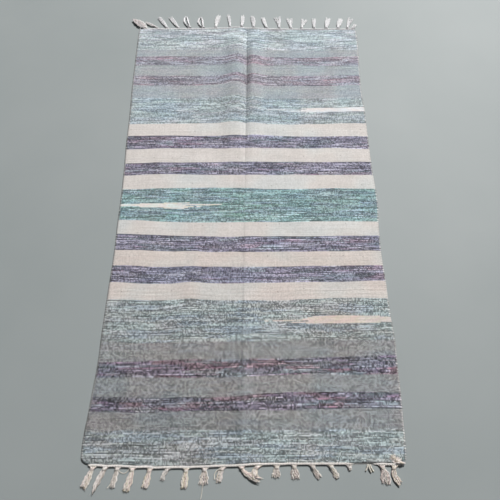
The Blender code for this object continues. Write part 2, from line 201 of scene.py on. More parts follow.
NEAR_TASSELS = [
    Tassel(-0.377, -0.009, 0.024, -0.019, 0.048, 0.017, 0.0, "fat", 0.60),
    Tassel(-0.346, -0.015, 0.029, -0.026, 0.060, 0.013, 0.0, "taper", 0.25),
    Tassel(-0.317, -0.004, 0.022, -0.010, 0.046, 0.013, 0.0, "plain", 0.15),
    Tassel(-0.280, -0.005, 0.026, -0.014, 0.052, 0.018, 0.0, "fat", 0.80),
    Tassel(-0.237, -0.005, 0.022, -0.010, 0.043, 0.017, 0.0, "fat", 0.65),
    Tassel(-0.193, -0.008, 0.011, -0.013, 0.026, 0.011, 0.0, "short", 0.0),
    Tassel(-0.148, -0.002, 0.022, -0.004, 0.044, 0.017, 0.0, "fat", 0.60),
    Tassel(-0.103, -0.001, 0.019, -0.003, 0.038, 0.017, 0.0, "fan", 0.45),
    Tassel(-0.058, -0.007, 0.017, -0.009, 0.034, 0.014, 0.0, "plain", 0.45),
    Tassel(-0.013, 0.012, 0.017, 0.045, 0.029, 0.011, 0.005, "fork", 0.85),
    Tassel(0.030, -0.010, 0.013, -0.008, 0.026, 0.014, 0.008, "plain", 0.55),
    Tassel(0.074, -0.001, 0.014, -0.003, 0.028, 0.015, 0.0, "fan", 0.35),
    Tassel(0.117, 0.001, 0.016, 0.003, 0.032, 0.017, 0.0, "fan", 0.50),
    Tassel(0.161, 0.009, 0.017, 0.018, 0.029, 0.013, 0.0, "plain", 0.25),
    Tassel(0.206, 0.009, 0.015, 0.017, 0.029, 0.013, 0.0, "plain", 0.50),
    Tassel(0.253, 0.001, 0.006, 0.002, 0.012, 0.007, 0.0, "short", 0.10),
    Tassel(0.333, 0.006, 0.020, 0.007, 0.041, 0.020, 0.0, "fan", 0.50),
    Tassel(0.365, -0.003, 0.022, 0.010, 0.041, 0.014, 0.002, "fat", 0.65),
]
THROWN_BACK = [
    Tassel(0.383, -0.012, 0.007, -0.024, 0.019, 0.014, 0.002, "fat", 0.40),
    Tassel(0.376, 0.000, 0.007, 0.004, 0.012, 0.013, 0.001, "short", 0.35),
]
HEADER_FROM = {+1: -0.392, -1: -0.390}
HEADER_TO = {+1: 0.3965, -1: 0.3890}
# Single ends of yarn that lie loose, each on its own few points (x, y, z of the strand's middle).
LOOSE_ENDS = {
    "fringe_near": [
        ("sagging_loop", 0.0008, [(-0.3165, -0.7535, 0.004), (-0.311, -0.7630, 0.001), (-0.3005, -0.7665, 0.001), (-0.2915, -0.7610, 0.001), (-0.287, -0.7530, 0.004)]),
        ("side_strand", 0.0008, [(-0.322, -0.7725, 0.003), (-0.3276, -0.7855, 0.001), (-0.3379, -0.8000, 0.001)]),
        ("long_loose_thread", 0.0007, [(-0.1065, -0.7840, 0.004), (-0.1078, -0.8000, 0.001), (-0.1085, -0.8120, 0.001), (-0.1107, -0.8235, 0.001)]),
        ("short_side_strand", 0.0010, [(-0.0655, -0.7555, 0.004), (-0.0740, -0.7610, 0.002), (-0.0790, -0.7690, 0.001), (-0.0784, -0.7810, 0.001)]),
        ("stub_left", 0.0016, [(0.2990, -0.7460, 0.0044), (0.2955, -0.7555, 0.0032), (0.2925, -0.7605, 0.0016)]),
        ("stub_middle", 0.0017, [(0.3000, -0.7460, 0.0046), (0.3025, -0.7560, 0.0040), (0.3060, -0.7640, 0.0018)]),
        ("stub_right", 0.0016, [(0.3040, -0.7460, 0.0044), (0.3085, -0.7565, 0.0032), (0.3125, -0.7615, 0.0016)]),
        ("fuzz_by_sweep", 0.0006, [(0.0300, -0.7760, 0.003), (0.0360, -0.7790, 0.001), (0.0405, -0.7772, 0.001)]),
    ],
    "fringe_far": [
        ("strand_over_corner", 0.0010, [(-0.3880, 0.7545, 0.006), (-0.3975, 0.7500, 0.007), (-0.4035, 0.7440, 0.004), (-0.4015, 0.7390, 0.002)]),
        ("thin_end_by_corner", 0.0008, [(-0.3600, 0.7560, 0.004), (-0.3720, 0.7650, 0.004), (-0.3850, 0.7700, 0.003)]),
    ],
}

# ---------------------------------------------------------------- camera and light
CAMERA_AT = (-0.000289, -0.772167, 1.321246)
CAMERA_PITCH = 65.22932639  # degrees below the horizon
CAMERA_YAW = -0.7473058581
CAMERA_ROLL = 0.8760383177
FOCAL_LENGTH = 490 / 500 * 36


def rug_frame(x, y, z):
    """A place in the tables, in the model's own frame."""
    return (x - MIDDLE[0], y - MIDDLE[1], z)


def add_camera():
    pitch, yaw, roll = (math.radians(a) for a in (CAMERA_PITCH, CAMERA_YAW, CAMERA_ROLL))
    turn = Matrix.Rotation(yaw, 3, "Z")
    right = turn @ Vector((1, 0, 0))
    up = turn @ Vector((0, math.sin(pitch), math.cos(pitch)))
    forward = turn @ Vector((0, math.cos(pitch), -math.sin(pitch)))
    across = math.cos(roll) * right + math.sin(roll) * up
    upward = -math.sin(roll) * right + math.cos(roll) * up
    data = bpy.data.cameras.new("camera")
    data.sensor_fit = "HORIZONTAL"
    data.sensor_width = 36
    data.lens = FOCAL_LENGTH
    data.clip_start = 0.05
    camera = bpy.data.objects.new("camera", data)
    rotation = Matrix((across, upward, -forward)).transposed()
    camera.matrix_world = Matrix.Translation(rug_frame(*CAMERA_AT)) @ rotation.to_4x4()
    bpy.context.scene.collection.objects.link(camera)
    bpy.context.scene.camera = camera


def add_area_light(name, place, aim, size, power, colour):
    data = bpy.data.lights.new(name, "AREA")
    data.shape = "DISK"
    data.size = size
    data.energy = power
    data.color = colour
    light = bpy.data.objects.new(name, data)
    light.location = place
    light.rotation_euler = (Vector(aim) - Vector(place)).to_track_quat("-Z", "Y").to_euler()
    bpy.context.scene.collection.objects.link(light)


# ---------------------------------------------------------------- shape rules, over whole arrays
def eased(keys, values, at):
    """The values at a place, on a smooth curve through the rows; values may hold several columns."""
    keys = np.asarray(keys, float)
    values = np.asarray(values, float)
    order = np.argsort(keys)
    keys, values = keys[order], values[order]
    low = np.maximum(np.arange(len(keys)) - 1, 0)
    high = np.minimum(np.arange(len(keys)) + 1, len(keys) - 1)
    shape = (-1,) + (1,) * (values.ndim - 1)
    slopes = (values[high] - values[low]) / (keys[high] - keys[low]).reshape(shape)
    at = np.clip(np.asarray(at, float), keys[0], keys[-1])
    i = np.clip(np.searchsorted(keys, at, side="right") - 1, 0, len(keys) - 2)
    span = keys[i + 1] - keys[i]
    t = (at - keys[i]) / span
    if values.ndim > 1:
        span, t = span[..., None], t[..., None]
    return (
        values[i] * (2 * t**3 - 3 * t**2 + 1)
        + slopes[i] * span * (t**3 - 2 * t**2 + t)
        + values[i + 1] * (3 * t**2 - 2 * t**3)
        + slopes[i + 1] * span * (t**3 - t**2)
    )


def column(rows, name):
    return [getattr(row, name) for row in rows]


def swell(t):
    return np.cos(math.pi / 2 * np.minimum(np.abs(t), 1.0)) ** 2


VALLEY_SIDE = {"ridge_left_of_valley": 1, "ridge_right_of_valley": -1}  # where each ridge drops into the crease


def floor_gap(x, y):
    """How high the cloth's underside is off the floor."""
    z = np.zeros(np.broadcast(x, y).shape)
    for f in FOLDS:
        along = y - f.y
        across = x - (f.x + f.lean * along)
        reach = np.where(along > 0, f.reach_far, f.reach_near)
        width = np.where(across > 0, f.width_right, f.width_left)
        steep = np.where(across * VALLEY_SIDE.get(f.name, 0) > 0, 0.68, 1.0)
        z = z + f.height * swell(along / reach) * swell(across / width) ** steep
    return z


def end_line(x, end):
    out = eased(column(ENDS, "x"), column(ENDS, "far_out" if end > 0 else "near_out"), x)
    return end * (LENGTH / 2 + out)


def ripple(x, y, seed, length, count=7):
    """A smooth uneven surface between about -1 and 1, made of a few slow waves."""
    rng = random.Random(seed)
    total = np.zeros(np.broadcast(x, y).shape)
    for _ in range(count):
        angle = rng.uniform(0, math.tau)
        stretch = rng.uniform(0.6, 1.7) / length
        total = total + np.sin(
            math.tau * stretch * (x * math.cos(angle) + y * math.sin(angle)) + rng.uniform(0, math.tau)
        )
    return total / math.sqrt(count / 2) / 2.2


def pick_of(y):
    """Which pick lies at this place along the rug, on average."""
    near, far = -LENGTH / 2 + HEADER_DEPTH + GAP, LENGTH / 2 - HEADER_DEPTH - GAP
    return (y - near) / (far - near) * PICKS


BAND_PICKS = []  # (first pick, last pick + 1, yarn), from the near end
_top = PICKS
for _band in BANDS:
    _low = 0 if _band.wave is None else int(round(pick_of(_band.near_y)))
    BAND_PICKS.append((_low, _top, _band.yarn))
    _top = _low
BAND_PICKS.reverse()


def wave_of_picks(x, y):
    """How far the picks lie off their straight, even place."""
    rows, values = [LENGTH / 2, -LENGTH / 2], [[0.0] * len(WAVE_AT), [0.0] * len(WAVE_AT)]
    at = np.array(WAVE_AT)
    far = end_line(at, +1) - LENGTH / 2
    near = end_line(at, -1) + LENGTH / 2
    for band in BANDS:
        if band.wave is None:
            continue
        s = band.near_y / LENGTH + 0.5
        rows.append(band.near_y)
        values.append(list(np.array(band.wave) / 1000 - (near * (1 - s) + far * s)))
    by_row = eased(rows, values, y[:, 0])  # one row of WAVE_AT values for each mesh row
    keys = np.array([-0.43] + WAVE_AT + [0.43])
    by_row = np.concatenate([by_row[:, :1], by_row, by_row[:, -1:]], axis=1)
    out = np.empty(x.shape)
    for j in range(len(x)):
        out[j] = eased(keys, by_row[j], x[j])
    hump = 0.0026 * swell((x + 0.165 - 0.05 * (y + 0.26)) / 0.055) * swell((y + 0.255) / 0.14)
    drift = 0.0007 * ripple(x, 2.5 * y, 11, 0.16) + 0.0003 * ripple(x, 4.0 * y, 12, 0.05)
    return out + hump + drift


# ---------------------------------------------------------------- the cloth
def stations():
    """Places across the cloth, close together at the crease and at the selvedges."""

    def half(fine, growth, middle_step):
        xs, x = [0.0], 0.0
        while x < WIDTH / 2:
            crease = min(fine + growth * x, middle_step) if x < 0.062 else middle_step + 0.30 * (x - 0.062)
            rim = 0.0009 + 0.42 * (WIDTH / 2 - x)
            x += max(min(crease, rim, 0.021), 0.0008)
            xs.append(x)
        return [v * (WIDTH / 2) / xs[-1] for v in xs]

    right = half(0.0015, 0.40, 0.0052)
    return [-v for v in right[:0:-1]] + right


def woven_cloth(materials):
    base = np.array(stations())
    n = len(base)
    v = np.arange(2 * PICKS + 1) / 2.0
    m = len(v)
    y_mean = -LENGTH / 2 + HEADER_DEPTH + GAP + v / PICKS * (LENGTH - 2 * (HEADER_DEPTH + GAP))
    # the columns by the crease follow it, and those far from it stay straight
    crease_x = eased(column(CREASE, "y"), column(CREASE, "x"), y_mean)
    flat_x = base[None, :] + crease_x[:, None] * swell(base[None, :] / 0.33)
    flat_x[:, 0], flat_x[:, -1] = base[0], base[-1]

    near = end_line(flat_x, -1) + HEADER_DEPTH + GAP
    far = end_line(flat_x, +1) - HEADER_DEPTH - GAP
    y = near + (far - near) * (v / PICKS)[:, None]
    y = y + wave_of_picks(flat_x, np.repeat(y_mean[:, None], n, 1)) * np.clip(
        np.minimum(v, PICKS - v) / 3.0, 0, 1
    )[:, None]
    u = flat_x / (WIDTH / 2)
    for c in CORNERS:
        across = c.radius - (WIDTH / 2 - c.side * flat_x)
        along = c.radius - ((far - y) if c.end > 0 else (y - near))
        inside = (across > 0) & (along > 0)
        p = np.where(inside, across / c.radius, 0.0)
        q = np.clip(np.where(inside, along / c.radius, 0.0), 0, 1)
        p_round, q_round = p * np.sqrt(1 - q * q / 2), q * np.sqrt(1 - p * p / 2)
        u = u - np.where(inside, c.side * (p - p_round) * c.radius / (WIDTH / 2), 0.0)
        y = y - np.where(inside, c.end * (q - q_round) * c.radius, 0.0)
    left = eased(column(SELVEDGES, "y"), column(SELVEDGES, "left_out"), y)
    right = eased(column(SELVEDGES, "y"), column(SELVEDGES, "right_out"), y)
    out = np.where(u < 0, left, right)
    x = u * WIDTH / 2 + np.sign(u) * out * np.abs(u) ** 3

    # each weft turns round the outer warp every second pick, so the selvedge is a row of small loops
    rng = np.random.default_rng(5)
    turn = np.zeros((m, n))
    for side in (-1, 1):
        size = np.repeat(rng.uniform(0.4, 1.25, PICKS // 2 + 2), 4)[:m]
        loop = 0.00095 * size * (0.5 + 0.5 * np.cos(math.pi * (v - (0.5 if side > 0 else 1.5))))
        reach = swell((WIDTH / 2 - side * flat_x) / 0.0052)
        turn += side * loop[:, None] * reach
    x = x + turn

    # thickness: full inside, rounded off over the last millimetres, ribbed pick by pick
    edge = np.minimum(WIDTH / 2 - np.abs(flat_x), 0.0060)
    rounding = np.sqrt(np.clip(1 - (1 - np.clip(edge / 0.0034, 0, 1)) ** 2, 0, 1))
    thick = 0.0012 + (CLOTH_THICKNESS - 0.0012) * (0.40 + 0.60 * rounding)
    ends = np.clip(np.minimum(v, PICKS - v) / 1.5, 0, 1)
    thick = thick * (0.72 + 0.28 * ends)[:, None]
    grooves = (v == np.floor(v)).astype(float)
    pick_size = np.repeat(rng.normal(0.0, 0.00011, PICKS + 1), 2)[:m]
    rib = -RIB_HEIGHT * grooves + np.where(grooves > 0, 0.0, pick_size)
    fuzz = 0.00016 * rng.standard_normal((m, n))
    crease_depth = eased(column(CREASE, "y"), column(CREASE, "depth"), y_mean)[:, None]
    off = (flat_x - crease_x[:, None]) / 0.0026
    groove = crease_depth * np.exp(-(off**2))
    cockle = 0.00042 * (1 + ripple(x, y, 3, 0.085)) + 0.00022 * (1 + ripple(x, y, 4, 0.038))
    still = swell((WIDTH / 2 - np.abs(flat_x)) / 0.03)
    cockle = cockle * (1 - still) * np.clip(np.minimum(v, PICKS - v) / 12.0, 0, 1)[:, None]
    base_z = floor_gap(x, y) + cockle
    top_z = base_z + thick + rib[:, None] + fuzz - groove

    top = np.stack([x, y, top_z], -1).reshape(-1, 3)
    # the underside keeps only some of the columns
    keep = [0] + [i for i in range(1, n - 1) if i % 5 == (n // 2) % 5 and 4 < i < n - 5] + [n - 1]
    low_x = x[:, keep].copy()
    low_z = base_z[:, keep].copy() - 0.10 * rib[:, None]
    low_z[:, 0] += 0.0009
    low_z[:, -1] += 0.0009
    low = np.stack([low_x, y[:, keep], np.maximum(low_z, 0.0)], -1).reshape(-1, 3)
    k = len(keep)
    below = m * n

    faces, kinds = [], []
    band_of = {}
    for first, last, yarn in BAND_PICKS:
        for pick in range(first, last):
            band_of[pick] = yarn
    slots = {name: i for i, name in enumerate(materials)}
    for j in range(m - 1):
        kind = slots[band_of[min(int(v[j]), PICKS - 1)]]
        a = j * n
        faces += [(a + i, a + i + 1, a + n + i + 1, a + n + i) for i in range(n - 1)]
        kinds += [kind] * (n - 1)
        b = below + j * k
        faces += [(b + i + 1, b + i, b + k + i, b + k + i + 1) for i in range(k - 1)]
        kinds += [kind] * (k - 1)
        faces.append((b, a, a + n, b + k))
        faces.append((a + n - 1, b + k - 1, b + 2 * k - 1, a + 2 * n - 1))
        kinds += [kind, kind]
    for j, turned in ((0, False), (m - 1, True)):
        for i in range(k - 1):
            loop = [j * n + q for q in range(keep[i], keep[i + 1] + 1)]
            loop = loop[::-1] + [below + j * k + i, below + j * k + i + 1]
            faces.append(tuple(loop[::-1] if turned else loop))
            kinds.append(slots[band_of[0 if j == 0 else PICKS - 1]])

    places = np.concatenate([top, low])
    places[:, 0] -= MIDDLE[0]
    places[:, 1] -= MIDDLE[1]
    mesh = bpy.data.meshes.new("striped_cloth")
    mesh.from_pydata(places.tolist(), [], faces)
    mesh.update()
    for material in materials.values():
        mesh.materials.append(material)
    mesh.polygons.foreach_set("material_index", kinds)

    loops = np.empty(len(mesh.loops), np.int32)
    mesh.loops.foreach_get("vertex_index", loops)
    rows = np.concatenate([np.repeat(v, n), np.repeat(v, k)])
    across = np.concatenate([flat_x.ravel(), flat_x[:, keep].ravel()])
    weave = np.stack([across, rows], -1)
    inset = np.concatenate([np.ones(m * n), np.full(m * k, 0.994)])
    whole = np.stack([0.5 + across * inset / WIDTH, 0.5 + (rows / PICKS - 0.5) * inset], -1)
    mesh.uv_layers.new(name="Weave").data.foreach_set("uv", weave[loops].astype(np.float32).ravel())
    mesh.uv_layers.new(name="OFBake").data.foreach_set("uv", whole[loops].astype(np.float32).ravel())

    # darker in the pressed crease, partly worn and partly painted shade, and on the selvedges a little grimy
    wear = eased(column(CREASE, "y"), column(CREASE, "wear"), y_mean)[:, None] * np.exp(-(((flat_x - crease_x[:, None]) / 0.0024) ** 2))
    # painted shade: the left selvedge, on the side away from the light, is darkened twice as much as the right one
    selvedge_grime_and_shade = np.where(flat_x < 0, 0.90, 0.45) * swell((WIDTH / 2 - np.abs(flat_x)) / 0.0075)
    # painted shade: the near left quarter, on one side of the old fold, is darker than the rest
    painted_shade_near_left = np.clip((crease_x[:, None] - 0.001 - flat_x) / 0.008, 0, 1) * np.clip((-0.20 - y_mean) / 0.42, 0, 1)[:, None]
    # painted shade: soft dark streaks next to the fold line over the near half, and along three buckles in the near
    # half
    painted_shade_beside_fold = 0.24 * np.exp(-(((flat_x - crease_x[:, None] + 0.003) / 0.011) ** 2)) * np.clip((0.06 - y_mean) / 0.20, 0, 1)[:, None]
    painted_shade_on_buckles = 0.38 * np.exp(-(((flat_x + 0.170 - 0.05 * (y_mean[:, None] + 0.26)) / 0.010) ** 2)) * swell((y_mean + 0.27) / 0.18)[:, None]
    for streak_x in (-0.292, -0.207):
        painted_shade_on_buckles = painted_shade_on_buckles + 0.20 * np.exp(-(((flat_x - streak_x) / 0.009) ** 2)) * swell((y_mean + 0.60) / 0.15)[:, None]
    value = np.clip(wear + selvedge_grime_and_shade + 0.34 * painted_shade_near_left + painted_shade_beside_fold + painted_shade_on_buckles, 0, 1)
    attribute = mesh.attributes.new("wear", "FLOAT", "POINT")
    attribute.data.foreach_set("value", np.concatenate([value.ravel(), value[:, keep].ravel()]).astype(np.float32))
    mesh.shade_smooth()
    cloth = bpy.data.objects.new("striped_cloth", mesh)
    bpy.context.scene.collection.objects.link(cloth)
    return cloth


# ---------------------------------------------------------------- node helpers
def linear(rgb):
    """A colour given as 0 to 255 for each of red, green and blue, as the shaders take it."""
    out = []
    for c in rgb:
        c = c / 255
        out.append(c / 12.92 if c <= 0.04045 else ((c + 0.055) / 1.055) ** 2.4)
    return (*out, 1.0)


class Shade:
    """A material and short ways to add its nodes."""

    def __init__(self, name):
        self.material = bpy.data.materials.new(name)
        self.material.use_nodes = True
        self.tree = self.material.node_tree
        self.shader = self.tree.nodes["Principled BSDF"]

    def put(self, socket, value):
        if isinstance(value, bpy.types.NodeSocket):
            self.tree.links.new(value, socket)
        else:
            socket.default_value = value

    def node(self, kind, **settings):
        made = self.tree.nodes.new(kind)
        for key, value in settings.items():
            setattr(made, key, value)
        return made

    def math(self, operation, *values, clamp=False):
        made = self.node("ShaderNodeMath", operation=operation, use_clamp=clamp)
        for socket, value in zip(made.inputs, values):
            self.put(socket, value)
        return made.outputs[0]

    def mix(self, factor, a, b, blend="MIX"):
        made = self.node("ShaderNodeMix", data_type="RGBA", blend_type=blend)
        self.put(made.inputs[0], factor)
        self.put(made.inputs[6], a)
        self.put(made.inputs[7], b)
        return made.outputs[2]

    def ramp(self, factor, stops, steps=False):
        """stops are (colour, share of the whole)."""
        made = self.node("ShaderNodeValToRGB")
        ramp = made.color_ramp
        ramp.interpolation = "CONSTANT" if steps else "LINEAR"
        whole = sum(share for _, share in stops)
        place = 0.0
        while len(ramp.elements) < len(stops):
            ramp.elements.new(0.5)
        for element, (colour, share) in zip(ramp.elements, stops):
            element.position = min(place if steps else place + share / whole / 2, 1.0)
            element.color = linear(colour)
            place += share / whole
        self.put(made.inputs[0], factor)
        return made.outputs[0]

    def smooth(self, value, low, high, to_low=0.0, to_high=1.0):
        made = self.node("ShaderNodeMapRange", interpolation_type="SMOOTHSTEP")
        for socket, number in zip(made.inputs, (value, low, high, to_low, to_high)):
            self.put(socket, number)
        return made.outputs[0]

    def random(self, w):
        """A number from 0 to 1 of its own for each value of w."""
        made = self.node("ShaderNodeTexWhiteNoise", noise_dimensions="1D")
        self.put(made.inputs["W"], w)
        return made.outputs["Value"]

    def cells(self, w):
        """A random number for each stretch of w, stretches of uneven length about 1 long."""
        made = self.node("ShaderNodeTexVoronoi", voronoi_dimensions="1D", feature="F1")
        made.inputs["Scale"].default_value = 1.0
        self.put(made.inputs["W"], w)
        parts = self.node("ShaderNodeSeparateColor")
        self.put(parts.inputs[0], made.outputs["Color"])
        return parts.outputs[0]

    def vector(self, x, y, z=0.0):
        made = self.node("ShaderNodeCombineXYZ")
        for socket, value in zip(made.inputs, (x, y, z)):
            self.put(socket, value)
        return made.outputs[0]

    def noise(self, vector, scale, detail=2.0, roughness=0.5):
        made = self.node("ShaderNodeTexNoise", noise_dimensions="3D")
        self.put(made.inputs["Vector"], vector)
        made.inputs["Scale"].default_value = scale
        made.inputs["Detail"].default_value = detail
        made.inputs["Roughness"].default_value = roughness
        return made.outputs["Fac"] if "Fac" in made.outputs else made.outputs[0]


# ---------------------------------------------------------------- yarns
WARP_COLOUR = (206, 203, 199)
# dyes: (colour, share), dark to light. repeat: how long one colour runs along the weft, in metres. doubled: how many picks
# go on in the colours of the one before. patches: the hues that pool over several picks. heather: how much
# one float of the yarn differs from the next. cover: 0 lets warp and weft show alike, 1 hides the warp.
# groove: how dark the painted shade in the grooves between the picks is.
Yarn = namedtuple("Yarn", "dyes repeat doubled patches patch_share heather cover groove")
# painted light: the far end's hazy yarns and its far blue are the near end's blue, grey and rose yarns made lighter and
# hazier, for the haze of light over the far end of the rug
YARNS = {
    "blue_hazy": Yarn(
        [((111, 125, 138), 0.21), ((167, 185, 190), 0.12), ((177, 187, 196), 0.27), ((211, 218, 226), 0.30), ((223, 229, 236), 0.10)],
        0.054, 0.10, [((179, 196, 216), 0.30), ((193, 192, 208), 0.30), ((185, 206, 206), 0.40)], 0.30, 0.5, 0.70, 0.22,
    ),
    "blue_far": Yarn(
        [((108, 125, 137), 0.20), ((152, 171, 177), 0.13), ((161, 175, 185), 0.26), ((191, 203, 212), 0.28), ((204, 212, 219), 0.13)],
        0.058, 0.08, [((154, 176, 198), 0.30), ((170, 174, 188), 0.25), ((158, 182, 180), 0.45)], 0.28, 0.55, 0.70, 0.24,
    ),
    "blue_near": Yarn(
        [((111, 122, 130), 0.23), ((144, 158, 163), 0.13), ((155, 166, 172), 0.24), ((173, 185, 190), 0.26), ((185, 195, 200), 0.14)],
        0.068, 0.06, [((142, 160, 189), 0.18), ((172, 166, 171), 0.22), ((156, 174, 169), 0.38), ((176, 174, 163), 0.22)], 0.28, 0.74, 0.66, 0.26,
    ),
    "grey_hazy": Yarn(
        [((156, 165, 174), 0.35), ((164, 173, 181), 0.45), ((169, 177, 184), 0.20)],
        0.120, 0.1, [((163, 174, 186), 0.35), ((171, 170, 180), 0.25), ((165, 178, 176), 0.40)], 0.25, 0.2, 0.66, 0.18,
    ),
    "grey": Yarn(
        [((126, 130, 136), 0.30), ((135, 139, 145), 0.50), ((141, 145, 148), 0.20)],
        0.120, 0.1, [((127, 135, 145), 0.30), ((139, 134, 138), 0.20), ((131, 140, 137), 0.25), ((139, 138, 133), 0.25)], 0.30, 0.5, 0.60, 0.22,
    ),
    "rose_hazy": Yarn(
        [((108, 109, 125), 0.25), ((141, 141, 157), 0.14), ((158, 158, 170), 0.28), ((173, 149, 165), 0.11), ((187, 191, 199), 0.22)],
        0.054, 0.08, [((129, 133, 152), 0.35), ((187, 149, 168), 0.25), ((147, 143, 162), 0.40)], 0.30, 0.6, 0.80, 0.24,
    ),
    "rose": Yarn(
        [((73, 72, 85), 0.25), ((110, 108, 122), 0.22), ((124, 106, 130), 0.07), ((135, 131, 144), 0.19), ((158, 122, 143), 0.09), ((182, 181, 189), 0.18)],
        0.064, 0.06, [((92, 99, 119), 0.34), ((194, 113, 137), 0.18), ((116, 99, 135), 0.20), ((82, 113, 119), 0.14), ((126, 129, 133), 0.14)], 0.36, 0.92, 0.82, 0.26,
    ),
    "plum": Yarn(
        [((73, 75, 94), 0.25), ((120, 119, 140), 0.25), ((150, 124, 150), 0.03), ((152, 149, 169), 0.20), ((167, 164, 184), 0.08), ((190, 187, 203), 0.19)],
        0.062, 0.06, [((106, 112, 137), 0.40), ((148, 116, 141), 0.06), ((124, 122, 153), 0.26), ((102, 130, 139), 0.16), ((134, 138, 151), 0.12)], 0.32, 0.76, 0.84, 0.24,
    ),
    "green": Yarn(
        [((77, 108, 117), 0.25), ((115, 157, 151), 0.09), ((133, 162, 172), 0.24), ((140, 166, 185), 0.10), ((174, 198, 208), 0.22), ((200, 215, 224), 0.10)],
        0.060, 0.06, [((109, 149, 141), 0.36), ((131, 155, 179), 0.24), ((123, 157, 163), 0.40)], 0.34, 0.68, 0.76, 0.24,
    ),
    "white": Yarn(
        [((219, 215, 213), 0.30), ((221, 218, 216), 0.50), ((222, 220, 219), 0.20)],
        0.160, 0.3, [((222, 219, 218), 0.60), ((221, 218, 213), 0.40)], 0.25, 0.08, 0.50, 0.09,
    ),
    "cream": Yarn(
        [((216, 206, 201), 0.30), ((219, 212, 209), 0.50), ((219, 214, 211), 0.20)],
        0.160, 0.3, [((222, 209, 203), 0.50), ((220, 212, 204), 0.50)], 0.30, 0.1, 0.50, 0.10,
    ),
}
LAID_IN = {
    "blue_far": [((236, 241, 247), 0.6), ((240, 237, 238), 0.4)],
    "green": [((236, 240, 236), 0.36), ((240, 232, 230), 0.40), ((236, 232, 214), 0.24)],
    "blue_near": [((228, 215, 210), 0.40), ((224, 216, 199), 0.30), ((230, 212, 206), 0.30)],
}


